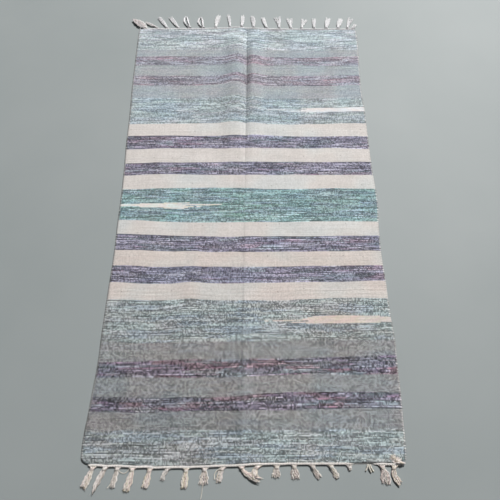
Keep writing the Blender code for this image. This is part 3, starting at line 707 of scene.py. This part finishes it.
def cloth_material(name, yarn, seed):
    s = Shade(name + "_weft")
    uv = s.node("ShaderNodeUVMap", uv_map="Weave")
    parts = s.node("ShaderNodeSeparateXYZ")
    s.put(parts.inputs[0], uv.outputs[0])
    across, rows = parts.outputs[0], parts.outputs[1]
    pick = s.math("FLOOR", rows)
    warp = s.math("DIVIDE", across, WARP_PITCH)
    warp_index = s.math("FLOOR", warp)

    # the interlacing: the weft is on top where the wave is positive, the warp where it is negative
    wave_across = s.math("SINE", s.math("MULTIPLY", warp, math.pi))
    wave_along = s.math("SINE", s.math("MULTIPLY", rows, math.pi))
    wave = s.math("MULTIPLY", wave_across, wave_along)
    swing = s.math("ABSOLUTE", wave)
    hidden = 0.05 + 0.85 * yarn.cover
    warp_on_top = s.smooth(wave, -hidden - 0.10, -hidden + 0.10, 1.0, 0.0)

    # the weft's dye: long runs of one colour, each pick with its own start, some picks doubled
    own = s.random(s.math("ADD", pick, seed + 0.5))
    doubled = s.math("LESS_THAN", own, yarn.doubled)
    shot = s.math("SUBTRACT", pick, doubled)
    start = s.random(s.math("ADD", shot, seed + 700.5))
    wobble = s.noise(s.vector(s.math("MULTIPLY", across, 900.0), s.math("MULTIPLY", pick, 7.3)), 1.0, 1.0)
    run = s.math("ADD", s.math("DIVIDE", across, yarn.repeat), s.math("MULTIPLY", start, 91.0))
    run = s.math("ADD", run, s.math("MULTIPLY", wobble, 0.22))
    # two shuttles take turns, one loaded a little lighter than the other
    turn = s.math("MULTIPLY", s.math("FRACT", s.math("MULTIPLY", s.math("ADD", pick, 0.5), 0.5)), 2.0)
    lighter = s.math("GREATER_THAN", turn, 1.0)
    lot = s.math("ADD", s.math("MULTIPLY", s.cells(run), 0.70), s.math("MULTIPLY", lighter, 0.30))
    dye = s.ramp(lot, yarn.dyes, steps=True)
    # a slow shift between neighbouring dyes keeps runs from looking printed
    shade = s.noise(s.vector(s.math("MULTIPLY", across, 38.0), s.math("MULTIPLY", shot, 3.1)), 1.0, 2.0)
    dye = s.mix(s.smooth(shade, 0.30, 0.70, 0.0, 0.26), dye, linear(yarn.dyes[1][0]))
    # hues pool over several neighbouring picks and keep the picks' own tones
    pool = s.node("ShaderNodeTexVoronoi", voronoi_dimensions="2D", feature="F1")
    pool.inputs["Scale"].default_value = 1.0
    at = s.vector(s.math("ADD", s.math("DIVIDE", across, 0.075), s.math("MULTIPLY", own, 0.5)), s.math("ADD", s.math("DIVIDE", pick, 3.4), seed * 0.37))
    s.put(pool.inputs["Vector"], at)
    pooled = s.node("ShaderNodeSeparateColor")
    s.put(pooled.inputs[0], pool.outputs["Color"])
    weft = s.mix(yarn.patch_share, dye, s.ramp(pooled.outputs[0], yarn.patches, steps=True), "COLOR")
    if name in LAID_IN:
        inlay = next(i for i in INLAYS if i.yarn == name)
        low, high = round(pick_of(inlay.low_y)), round(pick_of(inlay.high_y))
        tail = round(pick_of(inlay.tail_y))
        reach = s.math("MULTIPLY", across, inlay.side)
        # whole picks, fewer of them at the selvedge, each ending at its own place inside
        half = (high - low) / 2
        fewer = s.smooth(reach, inlay.side * inlay.thick_to, WIDTH / 2, half, half * inlay.at_selvedge)
        off = s.math("ABSOLUTE", s.math("SUBTRACT", s.math("ADD", pick, 0.5), (low + high) / 2))
        ragged = s.math("MULTIPLY", s.math("SUBTRACT", s.random(s.math("ADD", pick, 31.5)), 0.5), 0.030)
        thick = s.math("MULTIPLY", s.math("LESS_THAN", off, fewer), s.math("GREATER_THAN", s.math("ADD", reach, ragged), inlay.side * inlay.thick_to))
        thin = 0.0
        for row, to, gaps in ((tail, inlay.side * inlay.tail_to, 0.30), (tail - 2, inlay.side * inlay.thick_to - 0.045, 0.36)):
            its_row = s.math("MULTIPLY", s.math("GREATER_THAN", rows, row), s.math("LESS_THAN", rows, row + 1.15))
            broken = s.math("GREATER_THAN", s.noise(s.vector(s.math("MULTIPLY", across, 55.0), row * 1.37), 1.0, 1.0), gaps)
            one = s.math("MULTIPLY", s.math("MULTIPLY", its_row, broken), s.math("GREATER_THAN", reach, to))
            thin = s.math("MAXIMUM", thin, one)
        laid = s.math("MAXIMUM", thick, thin)
        hue = s.noise(s.vector(s.math("MULTIPLY", across, 26.0), s.math("MULTIPLY", rows, 0.22)), 1.0, 1.0)
        weft = s.mix(laid, weft, s.ramp(s.smooth(hue, 0.3, 0.7), LAID_IN[name]))
        warp_on_top = s.math("MULTIPLY", warp_on_top, s.math("SUBTRACT", 1.0, s.math("MULTIPLY", laid, 0.7)))

    # fibres along the weft
    fibre = s.noise(s.vector(s.math("MULTIPLY", across, 1600.0), s.math("MULTIPLY", rows, 6.0)), 1.0, 3.0, 0.65)
    weft = s.mix(1.0, weft, s.ramp(fibre, [((214, 214, 214), 0.5), ((255, 255, 255), 0.5)]), "MULTIPLY")
    warp_tone = s.random(s.math("ADD", warp_index, 211.5))
    warp_colour = s.mix(warp_tone, linear(WARP_COLOUR), linear((186, 181, 175)))
    cloth = s.mix(warp_on_top, weft, warp_colour)

    # the grooves between the picks and round each crossing are in shade
    groove = s.smooth(s.math("ABSOLUTE", wave_along), 0.0, 0.62, 1.0 - yarn.groove, 1.0)
    crossing = s.smooth(swing, 0.0, 0.30, 1.0 - 0.45 * yarn.groove, 1.0)
    shading = s.math("MULTIPLY", groove, crossing)
    # heather: each float of the yarn is darker or lighter than the next
    floats = s.node("ShaderNodeTexWhiteNoise", noise_dimensions="3D")
    s.put(floats.inputs["Vector"], s.vector(s.math("ADD", warp_index, 0.5), s.math("ADD", pick, 0.5), seed + 0.5))
    spread = 0.80 * yarn.heather
    if name in LAID_IN:
        spread = s.math("MULTIPLY", s.math("SUBTRACT", 1.0, s.math("MULTIPLY", laid, 0.85)), spread)
    dashes = s.cells(s.math("ADD", s.math("DIVIDE", across, 0.050), s.math("MULTIPLY", s.random(s.math("ADD", pick, seed + 60.5)), 61.0)))
    dash_share = 0.05 if yarn.repeat > 0.1 else (0.26 if yarn.heather > 0.9 else 0.39)
    grain = s.math("ADD", s.math("MULTIPLY", dashes, dash_share), s.math("MULTIPLY", floats.outputs["Value"], 1.0 - dash_share))
    tone = s.smooth(grain, 0.20, 0.80, -1.0, 1.0)
    shading = s.math("MULTIPLY", shading, s.math("ADD", s.math("MULTIPLY", tone, spread), 1.0))

    # age: slow unevenness of tone over the whole rug, and worn places together with painted shade in the crease, at the
    # selvedges and along the folds
    place = s.vector(s.math("MULTIPLY", across, 11.0), s.math("MULTIPLY", rows, 0.033))
    patch = s.noise(place, 1.0, 2.0, 0.6)
    shading = s.math("MULTIPLY", shading, s.smooth(patch, 0.25, 0.75, 0.955, 1.035))
    # the cloth's attribute darkens the colour: worn and grimy places together with painted shade in the crease, along
    # the buckles, at the left selvedge and over the near left quarter
    wear = s.node("ShaderNodeAttribute", attribute_name="wear")
    shading = s.math("MULTIPLY", shading, s.smooth(wear.outputs["Fac"], 0.0, 1.0, 1.0, 0.66))
    warmth = s.noise(s.vector(s.math("MULTIPLY", across, 8.0), s.math("MULTIPLY", rows, 0.021), 4.4), 1.0, 1.0)
    tint = s.ramp(s.smooth(warmth, 0.28, 0.72), [((247, 251, 252), 0.34), ((252, 252, 251), 0.32), ((252, 248, 246), 0.34)])
    cloth = s.mix(1.0, cloth, tint, "MULTIPLY")
    if yarn.groove < 0.2:
        # a few dark husk specks caught in the pale yarn
        specks = s.node("ShaderNodeTexVoronoi", voronoi_dimensions="2D", feature="F1")
        specks.inputs["Scale"].default_value = 1.0
        s.put(specks.inputs["Vector"], s.vector(s.math("MULTIPLY", across, 26.0), s.math("MULTIPLY", rows, 0.085)))
        chance = s.node("ShaderNodeSeparateColor")
        s.put(chance.inputs[0], specks.outputs["Color"])
        dot = s.math("MULTIPLY", s.math("LESS_THAN", specks.outputs["Distance"], 0.045), s.math("GREATER_THAN", chance.outputs[1], 0.72))
        cloth = s.mix(s.math("MULTIPLY", dot, 0.55), cloth, linear((92, 84, 74)))
    # at the selvedge the wefts turn two by two, and the outer warp shows pale between the turns
    rim = s.smooth(s.math("ABSOLUTE", across), WIDTH / 2 - 0.0046, WIDTH / 2 - 0.0024)
    between = s.math("GREATER_THAN", s.math("FRACT", s.math("ADD", s.math("DIVIDE", rows, 2.0), 0.25)), 0.58)
    cloth = s.mix(s.math("MULTIPLY", s.math("MULTIPLY", rim, between), 0.85), cloth, linear((232, 229, 226)))
    turned = s.math("MULTIPLY", rim, s.math("SUBTRACT", 1.0, between))
    shading = s.math("MULTIPLY", shading, s.math("SUBTRACT", 1.0, s.math("MULTIPLY", turned, 0.30)))
    grey = s.node("ShaderNodeCombineColor")
    for socket in grey.inputs[:3]:
        s.put(socket, shading)
    cloth = s.mix(1.0, cloth, grey.outputs[0], "MULTIPLY")
    cloth.node.clamp_result = True
    s.put(s.shader.inputs["Base Color"], cloth)

    # relief: rounded floats of weft and warp, the ply twist, and fibre
    twist = s.math("SINE", s.math("MULTIPLY", s.math("ADD", s.math("MULTIPLY", across, 420.0), rows), math.tau))
    height = s.math("ADD", s.math("MULTIPLY", s.math("POWER", swing, 0.5), 0.70), s.math("MULTIPLY", s.math("MAXIMUM", wave, 0.0), 0.30))
    height = s.math("ADD", height, s.math("MULTIPLY", twist, 0.06))
    height = s.math("ADD", height, s.math("MULTIPLY", fibre, 0.22))
    bump = s.node("ShaderNodeBump")
    bump.inputs["Strength"].default_value = 0.75
    bump.inputs["Distance"].default_value = 0.0007
    s.put(bump.inputs["Height"], height)
    s.put(s.shader.inputs["Normal"], bump.outputs[0])
    s.put(s.shader.inputs["Roughness"], s.smooth(fibre, 0.2, 0.8, 0.86, 0.98))
    s.shader.inputs["Specular IOR Level"].default_value = 0.22
    s.shader.inputs["Sheen Weight"].default_value = 0.10
    s.shader.inputs["Sheen Roughness"].default_value = 0.55
    return s.material


def yarn_material(name, pale, deep, pink, yellow):
    """Undyed warp yarn. The strand's own coordinates: u round it, v metres along it."""
    s = Shade(name)
    uv = s.node("ShaderNodeUVMap", uv_map="Strand")
    parts = s.node("ShaderNodeSeparateXYZ")
    s.put(parts.inputs[0], uv.outputs[0])
    around, along = parts.outputs[0], parts.outputs[1]
    tone = s.node("ShaderNodeAttribute", attribute_name="tone").outputs["Fac"]
    tint = s.node("ShaderNodeAttribute", attribute_name="tint").outputs["Fac"]
    colour = s.mix(tone, linear(deep), linear(pale))
    hue = s.ramp(s.random(s.math("MULTIPLY", tone, 917.0)), [(pink, 0.45), (yellow, 0.30), (pale, 0.25)], steps=True)
    colour = s.mix(s.math("MULTIPLY", tint, 0.75), colour, hue)
    where = s.node("ShaderNodeTexCoord").outputs["Object"]
    patch = s.noise(where, 240.0, 2.0, 0.6)
    colour = s.mix(1.0, colour, s.ramp(patch, [((206, 204, 200), 0.35), ((255, 255, 255), 0.65)]), "MULTIPLY")
    # two plies laid round each other, with painted shade in the hollow between them
    turns = s.math("ADD", s.math("MULTIPLY", around, 2.0), s.math("DIVIDE", along, 0.0040))
    ply = s.math("ABSOLUTE", s.math("SINE", s.math("MULTIPLY", turns, math.pi)))
    lay = s.smooth(ply, 0.0, 0.50, 0.52, 1.0)
    grey = s.node("ShaderNodeCombineColor")
    for socket in grey.inputs[:3]:
        s.put(socket, lay)
    colour = s.mix(1.0, colour, grey.outputs[0], "MULTIPLY")
    s.put(s.shader.inputs["Base Color"], colour)
    fibre = s.noise(s.vector(s.math("MULTIPLY", around, 9.0), s.math("MULTIPLY", along, 700.0)), 1.0, 3.0, 0.65)
    bump = s.node("ShaderNodeBump")
    bump.inputs["Strength"].default_value = 0.6
    bump.inputs["Distance"].default_value = 0.0005
    s.put(bump.inputs["Height"], s.math("ADD", ply, s.math("MULTIPLY", fibre, 0.35)))
    s.put(s.shader.inputs["Normal"], bump.outputs[0])
    s.put(s.shader.inputs["Roughness"], s.smooth(fibre, 0.2, 0.8, 0.84, 0.98))
    s.shader.inputs["Specular IOR Level"].default_value = 0.22
    s.shader.inputs["Sheen Weight"].default_value = 0.12
    s.shader.inputs["Sheen Roughness"].default_value = 0.5
    return s.material


# ---------------------------------------------------------------- strands
class Strands:
    """Round strands gathered into one mesh."""

    def __init__(self, name):
        self.name = name
        self.places, self.faces, self.coords, self.tones, self.tints = [], [], [], [], []
        self.count = 0

    def add(self, points, radius, tone, tint, sides=6, across=(0, 0, 1), start=0.0):
        """points: along its middle. radius: one number or one for each point. across: a way that it never runs."""
        points = np.asarray(points, float)
        n = len(points)
        radius = np.broadcast_to(np.asarray(radius, float), (n,))
        way = np.gradient(points, axis=0)
        way /= np.linalg.norm(way, axis=1)[:, None] + 1e-12
        side = np.cross(way, np.asarray(across, float))
        side /= np.linalg.norm(side, axis=1)[:, None] + 1e-12
        rise = np.cross(side, way)
        angle = np.arange(sides) / sides * math.tau
        ring = (
            points[:, None, :]
            + radius[:, None, None] * (np.cos(angle)[None, :, None] * side[:, None, :] + np.sin(angle)[None, :, None] * rise[:, None, :])
        )
        first = self.count
        self.places.append(ring.reshape(-1, 3))
        length = np.concatenate([[0], np.cumsum(np.linalg.norm(np.diff(points, axis=0), axis=1))]) + start
        for i in range(n - 1):
            for k in range(sides):
                a, b = first + i * sides + k, first + i * sides + (k + 1) % sides
                self.faces.append((a, b, b + sides, a + sides))
                u0, u1 = k / sides, (k + 1) / sides
                self.coords += [(u0, length[i]), (u1, length[i]), (u1, length[i + 1]), (u0, length[i + 1])]
        self.faces.append(tuple(first + k for k in range(sides - 1, -1, -1)))
        self.coords += [(0.5, length[0])] * sides
        self.faces.append(tuple(first + (n - 1) * sides + k for k in range(sides)))
        self.coords += [(0.5, length[-1])] * sides
        self.tones.append(np.full(n * sides, tone))
        self.tints.append(np.full(n * sides, tint))
        self.count += n * sides

    def build(self, material):
        places = np.concatenate(self.places)
        places[:, 2] = np.maximum(places[:, 2], 0.0)
        places[:, 0] -= MIDDLE[0]
        places[:, 1] -= MIDDLE[1]
        mesh = bpy.data.meshes.new(self.name)
        mesh.from_pydata(places.tolist(), [], self.faces)
        mesh.update()
        mesh.materials.append(material)
        mesh.uv_layers.new(name="Strand").data.foreach_set("uv", np.asarray(self.coords, np.float32).ravel())
        for name, values in (("tone", self.tones), ("tint", self.tints)):
            mesh.attributes.new(name, "FLOAT", "POINT").data.foreach_set("value", np.concatenate(values).astype(np.float32))
        mesh.shade_smooth()
        made = bpy.data.objects.new(self.name, mesh)
        bpy.context.scene.collection.objects.link(made)
        return made


def along_points(points, count):
    """Evenly many places on a smooth curve through the points."""
    points = np.asarray(points, float)
    keys = np.concatenate([[0], np.cumsum(np.linalg.norm(np.diff(points, axis=0), axis=1))])
    return eased(keys, points, np.linspace(0, keys[-1], count))


LOOKS = {
    # strands, radius, how far out they start to spread, share of width at the tip
    "plain": (13, 0.00100, 0.10, 1.00),
    "thin": (10, 0.00090, 0.20, 0.85),
    "fat": (18, 0.00108, 0.06, 1.00),
    "fan": (15, 0.00098, 0.08, 1.30),
    "fork": (14, 0.00098, 0.22, 1.20),
    "taper": (14, 0.00098, 0.05, 0.55),
    "leaf": (20, 0.00105, 0.02, 0.28),
    "loop": (15, 0.00118, 0.12, 1.00),
    "short": (11, 0.00100, 0.05, 1.00),
}


def bundle(strands, tassel, end, out_sign, base, rng):
    """One knotted bundle: warp ends gathered from the header, the knot, and the free ends beyond it."""
    y_root = float(end_line(np.array(tassel.root_x), end))
    if out_sign != end:
        y_root -= end * HEADER_DEPTH
    root = np.array([tassel.root_x, y_root])
    mid = root + (tassel.mid_dx, out_sign * tassel.mid_out)
    tip = root + (tassel.tip_dx, out_sign * tassel.tip_out)
    control = 2 * mid - (root + tip) / 2
    reach = np.linalg.norm(tip - root)
    count, radius, spread_from, tip_share = LOOKS[tassel.look]

    def centre(t):
        t = np.asarray(t, float)[..., None]
        return (1 - t) ** 2 * root + 2 * t * (1 - t) * control + t * t * tip

    def lateral(t):
        t = np.asarray(t, float)[..., None]
        way = 2 * (1 - t) * (control - root) + 2 * t * (tip - control)
        turn = np.clip(t / 0.4, 0, 1)
        way = way / np.linalg.norm(way, axis=-1, keepdims=True)
        way = way * turn + np.array([0.0, out_sign]) * (1 - turn)
        way = way / np.linalg.norm(way, axis=-1, keepdims=True)
        return np.stack([-way[..., 1], way[..., 0]], -1)

    loose = out_sign != end
    knot_at = min(0.0048 / reach, 0.40)
    neck = 0.0034 if tassel.look != "thin" else 0.0024
    half = tassel.width / 2 * 0.92
    for i in range(count):
        lane = (i + 0.5) / count * 2 - 1
        lane = lane + rng.uniform(-0.10, 0.10)
        layer = (i * 0.618034) % 1.0
        length = 1.0 + rng.uniform(-0.09, 0.05)
        if tassel.look == "taper":
            length = 0.72 + 0.30 * (1 - abs(lane)) ** 0.7 + rng.uniform(-0.03, 0.03)
        if tassel.look == "loop":
            bend = np.linspace(0, 1, 40)
            t = (1 - np.abs(2 * bend - 1) ** 2.0) * (0.96 - 0.05 * layer)
            t[bend > 0.5] = np.maximum(t[bend > 0.5], 0.10 + 0.05 * layer)
            side = -np.cos(math.pi * bend)
            open_up = np.clip((t - 0.15) / 0.45, 0, 1)
            lanes = side * (neck + (half * (0.55 + 0.45 * (i + 0.5) / count) - neck) * open_up)
        else:
            t = np.linspace(0.0, length, 26)
            open_up = np.clip((t - spread_from) / 0.55, 0, 1)
            open_up = open_up * open_up * (3 - 2 * open_up)
            lanes = lane * (neck + (half * tip_share - neck) * open_up)
            if tassel.look in ("taper", "leaf"):
                belly = np.sin(math.pi * np.clip(t, 0, 1) ** 0.8) ** 0.7
                lanes = lane * (neck * (1 - open_up) + half * (tip_share * open_up + (1 - tip_share) * belly))
            if tassel.look == "fork":
                lanes = lanes + np.sign(lane) * half * 0.45 * np.clip((t - 0.62) / 0.38, 0, 1) ** 1.3
            # from the header the ends run in to the knot
            fan_in = np.clip(1 - t / knot_at, 0, 1)
            lanes = lanes + lane * 0.0052 * fan_in
        curl = 0.0022 if loose else 0.0011 if end < 0 else 0.0010
        lanes = lanes + curl * np.sin(math.tau * (t * reach / rng.uniform(0.010, 0.019) + rng.random())) * np.clip(t / 0.3, 0, 1)
        middle = centre(t) + lateral(t) * lanes[:, None]
        if loose:
            middle = middle + (np.array([rng.uniform(-0.004, 0.004), rng.uniform(-0.004, 0.003)])[None, :] * t[:, None] ** 1.2)
        settle = np.clip((t - 0.15) / 0.6, 0, 1)
        pile = (0.0044 - 0.0012 * settle) * (1 - 0.45 * np.clip(np.abs(lanes) / (half + 1e-9), 0, 1)) * layer
        if tassel.look == "leaf":
            pile = pile + 0.0035 * np.sin(math.pi * np.clip(t, 0, 1)) ** 0.8
        z = base * np.clip(1 - t, 0, 1) ** 2 + tassel.lift * t**2 + radius + pile
        crimp = 0.00055 * np.sin(math.tau * (t * reach / rng.uniform(0.0048, 0.0066) + rng.random()))
        z = z + crimp + 0.0004 * rng.random()
        z[0] = z[0] + 0.0008
        taper = radius * (1 - 0.35 * np.clip((t / t.max() - 0.82) / 0.18, 0, 1)) if tassel.look != "loop" else radius
        tone = rng.uniform(0.0, 1.0) ** 0.75
        strands.add(np.column_stack([middle, z]), taper, tone, tassel.tint * rng.uniform(0.5, 1.0), sides=6)
    # the knot: a few turns of the bundle round itself
    high = 0.0031 if tassel.look not in ("thin", "short") else 0.0026
    wide = 0.0045 if tassel.look not in ("thin", "short") else 0.0036
    for k in range(0 if loose else 3):
        t0 = knot_at + (k - 1.0) * 0.0019 / reach
        angle = np.linspace(-0.45 * math.pi, 1.62 * math.pi, 20)
        c = centre(np.clip(t0 + 0.0020 / reach * angle / math.tau, 0, 1))
        l = lateral(np.clip(np.full(20, t0), 0, 1))
        grow = 1.0 - 0.12 * abs(k - 1.0)
        ring = c + l * (np.cos(angle) * wide * grow)[:, None]
        z = base + high + 0.0006 + np.sin(angle) * high * grow
        across = np.array([*(centre(min(t0 + 0.05, 1.0)) - centre(max(t0 - 0.05, 0.0))), 0.0])
        across /= np.linalg.norm(across)
        strands.add(np.column_stack([ring, z]), 0.00110, rng.uniform(0.3, 0.9), tassel.tint * 0.6, sides=6, across=across)
    # a few fine hairs at the cut tips
    if tassel.look not in ("short", "loop"):
        for _ in range(4):
            t = rng.uniform(0.86, 1.0)
            a = centre(t) + lateral(t) * rng.uniform(-half, half)
            b = a + (tip - mid) / np.linalg.norm(tip - mid) * rng.uniform(0.003, 0.006) + rng.uniform(-0.002, 0.002)
            m = (a + b) / 2 + rng.uniform(-0.001, 0.001)
            z = tassel.lift * t * t
            strands.add(along_points([(*a, z + 0.0012), (*m, z + 0.0010), (*b, z * 0.6 + 0.0005)], 6), 0.00022, 0.9, tassel.tint * 0.4, sides=4)


def fringe(name, end, tassels, thrown_back, material):
    rng = random.Random(40 + end)
    strands = Strands(name)
    # the header: two plies twined round each other along the last pick
    low, high = HEADER_FROM[end] - 0.0006, HEADER_TO[end] + 0.0006
    pitch = 0.0104 if end > 0 else 0.0135
    count = int((high - low) / pitch * 9)
    xs = np.linspace(low, high, count)
    ys = end_line(xs, end) - end * (HEADER_DEPTH / 2 + 0.0003)
    ys = ys + (0.0004 if end > 0 else 0.0007) * ripple(xs, 0 * xs, 21 + end, 0.05)
    zs = floor_gap(xs, ys) + (0.0023 if end > 0 else 0.0031)
    worn = np.clip(1.8 * swell((xs - 0.288) / 0.048), 0, 1) if end < 0 else 0.0 * xs  # worn through by the three stubs
    zs = zs - 0.0022 * worn
    for phase, tint in ((0.0, 0.10), (0.5, 0.45 if end < 0 else 0.10)):
        turn = math.tau * (xs / pitch + phase + 0.06 * np.sin(xs * 70))
        lay = 1 - 0.7 * worn
        points = np.column_stack([xs, ys + (0.00130 if end > 0 else 0.00160) * lay * np.cos(turn), zs + 0.00100 * lay * np.sin(turn)])
        ends = np.clip(np.minimum(xs - low, high - xs) / 0.004, 0.35, 1)
        ends = ends * (1 - 0.90 * worn)
        strands.add(points, (0.00185 if end > 0 else 0.00156) * ends, 1.0 if end > 0 else 0.78, tint, sides=7)
    for tassel in tassels:
        y = float(end_line(np.array(tassel.root_x), end))
        bundle(strands, tassel, end, end, float(floor_gap(np.array(tassel.root_x), np.array(y))), rng)
    for tassel in thrown_back:
        bundle(strands, tassel, end, -end, CLOTH_THICKNESS + 2 * GAP, rng)
    for _, radius, points in LOOSE_ENDS[name]:
        strands.add(along_points([(x, y, max(z, radius)) for x, y, z in points], 18), radius, 0.9, 0.35, sides=6)
    return strands.build(material)


# ---------------------------------------------------------------- the floor
def add_floor():
    s = Shade("pale_floor")
    where = s.node("ShaderNodeTexCoord").outputs["Object"]
    patch = s.noise(where, 2.2, 3.0, 0.55)
    s.put(s.shader.inputs["Base Color"], s.ramp(patch, [((136, 142, 142), 0.5), ((143, 148, 148), 0.5)]))
    s.shader.inputs["Roughness"].default_value = 0.62
    s.shader.inputs["Specular IOR Level"].default_value = 0.3
    mesh = bpy.data.meshes.new("floor")
    size = 6.0
    mesh.from_pydata([(-size, -size, -0.0002), (size, -size, -0.0002), (size, size, -0.0002), (-size, size, -0.0002)], [], [(0, 1, 2, 3)])
    mesh.materials.append(s.material)
    floor = bpy.data.objects.new("floor", mesh)
    bpy.context.scene.collection.objects.link(floor)


def add_light():
    world = bpy.data.worlds.new("studio")
    world.use_nodes = True
    background = world.node_tree.nodes["Background"]
    background.inputs["Color"].default_value = (0.86, 0.93, 1.0, 1.0)
    background.inputs["Strength"].default_value = 0.07
    bpy.context.scene.world = world
    add_area_light("key", (3.9, 7.2, 8.4), (0.0, 0.0, 0.0), 1.1, 2160.0, (1.0, 0.995, 0.985))
    add_area_light("ceiling", (0.3, 1.2, 4.2), (0.0, 0.0, 0.0), 3.2, 17.0, (0.96, 0.985, 1.0))
    bpy.context.scene.view_settings.view_transform = "Standard"


def main():
    add_camera()
    add_light()
    add_floor()
    used = []
    for _, _, yarn in BAND_PICKS:
        if yarn not in used:
            used.append(yarn)
    materials = {name: cloth_material(name, YARNS[name], 1000 * (i + 1)) for i, name in enumerate(used)}
    cloth = woven_cloth(materials)
    far = fringe("fringe_far", +1, FAR_TASSELS, (), yarn_material("pale_warp_yarn", (252, 252, 254), (226, 226, 230), (242, 224, 222), (246, 244, 236)))
    near = fringe("fringe_near", -1, NEAR_TASSELS, THROWN_BACK, yarn_material("cream_warp_yarn", (250, 246, 243), (190, 180, 172), (238, 204, 200), (234, 222, 172)))
    for piece, node, slot in (
        (cloth, "woven_cloth", "woven_stripes"),
        (far, "fringe_far", "pale_warp_ends"),
        (near, "fringe_near", "cream_warp_ends"),
    ):
        if piece.name == node or piece.name.startswith(node + "."):
            piece.name = node + "_yarn"
        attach(piece, "root")
        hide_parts(node)
    bpy.context.view_layer.update()


main()
